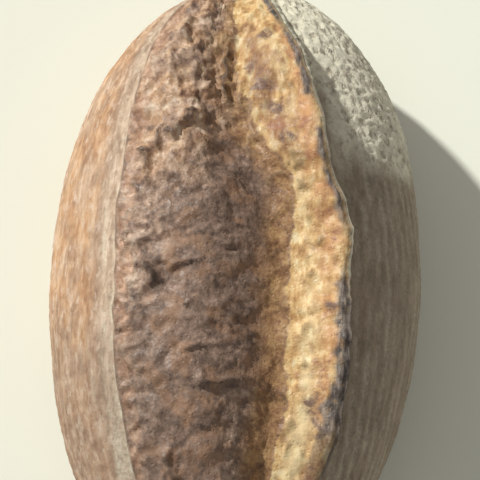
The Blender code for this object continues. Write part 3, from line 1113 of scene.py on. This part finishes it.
def crust_colour(g):
    """The old crust: orange-brown and mottled on the left, olive-brown and darker on the right, where the
    darkness is painted shade, with flour.
    """
    broad = g.noise(0.020, 3)
    streaks = g.noise(0.0040, 4, stretch=(1, 3, 1))
    threads = g.noise(0.0017, 3, stretch=(1, 3.5, 1))
    mottle = g.add(g.times(broad, 0.22), g.times(streaks, 0.43), g.times(threads, 0.35))
    crust = g.ramp(mottle, [(0.36, (0.22, 0.140, 0.095)), (0.45, (0.34, 0.215, 0.145)),
                            (0.51, (0.43, 0.285, 0.198)), (0.58, (0.54, 0.380, 0.275)),
                            (0.68, (0.66, 0.530, 0.420))])
    orange = g.remap(g.noise(0.010, 3, stretch=(1, 2, 1), shift=5.0), 0.40, 0.58, 0.25, 0.85)
    amber = g.ramp(mottle, [(0.40, (0.36, 0.185, 0.095)), (0.50, (0.50, 0.280, 0.145)),
                            (0.60, (0.64, 0.400, 0.235))])
    crust = g.mix(g.times(orange, g.mark("orange")), crust, amber)
    flecks = g.times(g.remap(g.noise(0.0026, 3, stretch=(1, 2.4, 1), shift=8.0), 0.52, 0.68), 0.60)
    crust = g.mix(flecks, crust, (0.70, 0.54, 0.42))
    # Olive-brown for the right crust, darkened as painted shade on the side away from the key light
    dusky_painted_shade = g.ramp(mottle, [(0.38, (0.19, 0.144, 0.101)), (0.50, (0.275, 0.206, 0.149)),
                            (0.62, (0.37, 0.283, 0.206))])
    crust = g.mix(g.mark("right"), crust, dusky_painted_shade)
    # Painted shade in the crust's cracks
    crust = g.mix(g.times(g.mark("crease"), 0.55), crust, (0.15, 0.11, 0.075))
    grain = g.remap(g.noise(0.0013, 3), 0.34, 0.60, 0.45, 1.0)
    worn = g.remap(g.noise(0.006, 4, stretch=(1, 3, 1), shift=2.0), 0.35, 0.60, 0.45, 1.0)
    flour = g.times(g.mark("flour"), worn, grain)
    holes = g.add(g.times(g.noise(0.0034, 3, stretch=(1, 1.3, 1), shift=6.0), 0.8), g.times(threads, 0.2))
    crusted = g.remap(holes, 0.36, 0.50, 0.40, 1.0)
    flour = g.mix(g.mark("floury"), flour, crusted)
    bare = g.mix(g.mark("base"), crust, (0.24, 0.135, 0.075))
    return g.mix(flour, bare, (0.77, 0.725, 0.580)), flour


def torn_colour(g):
    """The torn middle: purplish brown, paler on its crags, orange-tan at +Y and peach along the left."""
    tint = g.mark("tint")
    soft = g.noise(0.0052, 4)
    fine = g.noise(0.0014, 3, shift=3.0)
    tone = g.add(g.times(soft, 0.48), g.times(fine, 0.42), g.times(tint, 0.10))
    middle = g.ramp(tone, [(0.34, (0.125, 0.082, 0.062)), (0.44, (0.185, 0.122, 0.092)),
                           (0.51, (0.250, 0.165, 0.124)), (0.59, (0.335, 0.225, 0.172)),
                           (0.72, (0.49, 0.355, 0.285))])
    rusty = g.times(g.remap(g.noise(0.009, 3, shift=1.0), 0.47, 0.62), 0.6)
    middle = g.mix(rusty, middle, (0.34, 0.190, 0.110))
    mixed = g.add(g.times(soft, 0.50), g.times(fine, 0.28), g.times(tint, 0.22))
    pale = g.ramp(mixed, [(0.37, (0.16, 0.105, 0.082)), (0.43, (0.27, 0.180, 0.136)),
                          (0.50, (0.38, 0.255, 0.188)), (0.57, (0.51, 0.360, 0.268)),
                          (0.65, (0.66, 0.510, 0.395))])
    tan = g.ramp(mixed, [(0.37, (0.20, 0.102, 0.060)), (0.43, (0.35, 0.200, 0.118)),
                         (0.50, (0.49, 0.305, 0.187)), (0.57, (0.62, 0.425, 0.282)),
                         (0.65, (0.74, 0.590, 0.455))])
    peach = g.ramp(mixed, [(0.35, (0.28, 0.155, 0.100)), (0.46, (0.43, 0.250, 0.163)),
                           (0.55, (0.56, 0.360, 0.250)), (0.66, (0.68, 0.520, 0.400))])
    # Ochre for the band of painted shadow beside the ear's inner side, partly browned crumb
    ochre = g.ramp(tone, [(0.36, (0.20, 0.100, 0.050)), (0.46, (0.30, 0.160, 0.078)),
                          (0.54, (0.39, 0.225, 0.105)), (0.64, (0.49, 0.310, 0.150))])
    colour = g.mix(g.mark("pale"), middle, pale)
    warm = g.remap(g.noise(0.011, 2, shift=17.0), 0.42, 0.56, 0.20, 1.0)
    colour = g.mix(g.times(g.mark("far"), warm), colour, tan)
    colour = g.mix(g.mark("peach"), colour, peach)
    return g.mix(g.mark("shade"), colour, ochre)


def gold_colour(g):
    """The ear's inner side: pale gold, pitted, with toasted patches towards the lip."""
    streaks = g.noise(0.0026, 4, stretch=(1, 3, 1))
    tone = g.add(g.times(streaks, 0.50), g.times(g.noise(0.0055, 4), 0.50))
    colour = g.ramp(tone, [(0.38, (0.36, 0.186, 0.075)), (0.45, (0.52, 0.303, 0.125)),
                           (0.51, (0.65, 0.415, 0.185)), (0.57, (0.76, 0.558, 0.290)),
                           (0.66, (0.86, 0.724, 0.475))])
    colour = g.mix(g.times(g.mark("cream"), 0.65), colour, (0.86, 0.722, 0.440))
    browned = g.ramp(tone, [(0.38, (0.20, 0.100, 0.060)), (0.50, (0.33, 0.180, 0.095)),
                            (0.62, (0.47, 0.300, 0.150))])
    colour = g.mix(g.times(g.mark("browned"), 0.92), colour, browned)
    colour = g.mix(g.times(g.mark("toast"), 0.85), colour, (0.58, 0.300, 0.140))
    embers = g.remap(g.noise(0.0046, 3, shift=7.0), 0.52, 0.62)
    colour = g.mix(g.times(embers, g.mark("toast"), 0.8), colour, (0.30, 0.130, 0.070))
    # Pits: khaki, partly the crumb's colour and partly painted shade
    return g.mix(g.times(g.mark("pit"), 0.70), colour, (0.30, 0.200, 0.095))


def loaf_material():
    g = Graph("baked_crust")
    crust, flour = crust_colour(g)
    ragged = g.times(g.add(g.noise(0.0036, 4, shift=9.0), -0.5), 1.5)
    gold_share = g.remap(g.add(g.mark("gold"), ragged), 0.25, 0.75)
    inside = g.mix(gold_share, torn_colour(g), gold_colour(g))
    # Painted shade in creases, clefts, gaps and tears
    inside = g.mix(g.times(g.mark("crease"), 0.74), inside, (0.050, 0.033, 0.026))
    patchy = g.remap(g.noise(0.0022, 3, shift=11.0), 0.36, 0.56, 0.35, 0.95)
    streaky = g.noise(0.0020, 3, stretch=(1, 5, 1), shift=15.0)
    inside = g.mix(g.times(g.mark("rust"), patchy, 0.85), inside, (0.34, 0.150, 0.080))
    inside = g.mix(g.times(g.mark("spot"), patchy), inside, (0.19, 0.115, 0.088))
    colour = g.mix(g.mark("torn"), crust, inside)
    burn = g.times(g.mark("burn"), g.remap(g.noise(0.0026, 3, stretch=(1, 2, 1)), 0.32, 0.50, 0.72, 1.0))
    slate = g.ramp(streaky, [(0.40, (0.070, 0.056, 0.050)), (0.50, (0.135, 0.108, 0.094)),
                             (0.60, (0.24, 0.200, 0.172))])
    colour = g.mix(burn, colour, slate)
    rim = g.times(g.mark("rim"), g.remap(g.noise(0.0030, 3, shift=13.0), 0.38, 0.58, 0.20, 0.95))
    colour = g.mix(rim, colour, (0.285, 0.262, 0.195))
    # Painted shade along the left towards -Y
    colour = g.mix(g.mark("dusky_painted_shade"), colour, (0.060, 0.048, 0.040))
    g.put(g.shader.inputs["Base Color"], colour)

    shine = g.remap(g.noise(0.003, 3, shift=4.0), 0.4, 0.62, 0.72, 0.38)
    roughness = g.mix(g.mark("torn"), (0.80, 0.80, 0.80), shine)
    g.put(g.shader.inputs["Roughness"], g.add(roughness, g.times(flour, 0.15)))
    g.shader.inputs["Specular IOR Level"].default_value = 0.35

    grains = g.add(g.times(g.noise(0.0011, 4), 0.5), g.times(g.noise(0.0030, 4), 0.7))
    pores = g.times(g.remap(g.pores(0.0021), 0.08, 0.30, -1.0, 0.0), g.mark("torn"))
    lumps = g.times(flour, g.mark("floury"))
    bump = g.node("ShaderNodeBump")
    g.put(bump.inputs["Height"], g.add(grains, g.times(pores, 0.30), g.times(lumps, 0.9)))
    g.put(bump.inputs["Distance"], 0.0008)
    g.put(bump.inputs["Strength"], 0.6)
    g.put(g.shader.inputs["Normal"], bump.outputs[0])
    return g.material


def make_floor():
    bpy.ops.mesh.primitive_plane_add(size=FLOOR_SIZE, location=(0, 0, -FLOOR_GAP))
    floor = bpy.context.object
    floor.name = "floor"
    g = Graph("pale_floor")
    g.put(g.shader.inputs["Base Color"], g.mix(g.remap(g.noise(0.4, 3), 0.3, 0.7, 0.0, 0.5), *FLOOR_COLOURS))
    g.shader.inputs["Roughness"].default_value = 0.9
    g.shader.inputs["Specular IOR Level"].default_value = 0.2
    floor.data.materials.append(g.material)


def make_light():
    scene = bpy.context.scene
    sun = bpy.data.lights.new("key", "SUN")
    sun.energy = KEY_STRENGTH
    sun.angle = KEY_ANGLE
    sun.color = KEY_COLOUR
    key = bpy.data.objects.new("key", sun)
    key.rotation_euler = KEY_DIRECTION.to_track_quat("Z", "Y").to_euler()
    scene.collection.objects.link(key)
    world = bpy.data.worlds.new("studio")
    world.use_nodes = True
    background = world.node_tree.nodes["Background"]
    background.inputs["Color"].default_value = SKY_COLOUR
    background.inputs["Strength"].default_value = SKY_STRENGTH
    scene.world = world
    scene.view_settings.view_transform = "Standard"


def make_camera():
    camera = bpy.data.objects.new("camera", bpy.data.cameras.new("camera"))
    camera.data.lens = CAMERA_LENS
    out = Vector((0, -math.cos(CAMERA_ELEVATION), math.sin(CAMERA_ELEVATION)))
    right = Vector((1, 0, 0))
    up = out.cross(right)
    rolled_right = right * math.cos(CAMERA_ROLL) + up * math.sin(CAMERA_ROLL)
    rolled_up = up * math.cos(CAMERA_ROLL) - right * math.sin(CAMERA_ROLL)
    turn = Matrix((rolled_right, rolled_up, out)).transposed().to_4x4()
    camera.matrix_world = Matrix.Translation(CAMERA_TARGET + out * CAMERA_DISTANCE) @ turn
    bpy.context.scene.collection.objects.link(camera)
    bpy.context.scene.camera = camera


noise.seed_set(NOISE_SEED)
loaf = make_loaf()
loaf.data.materials.append(loaf_material())
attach(loaf, "root")
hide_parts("loaf")
make_floor()
make_light()
make_camera()
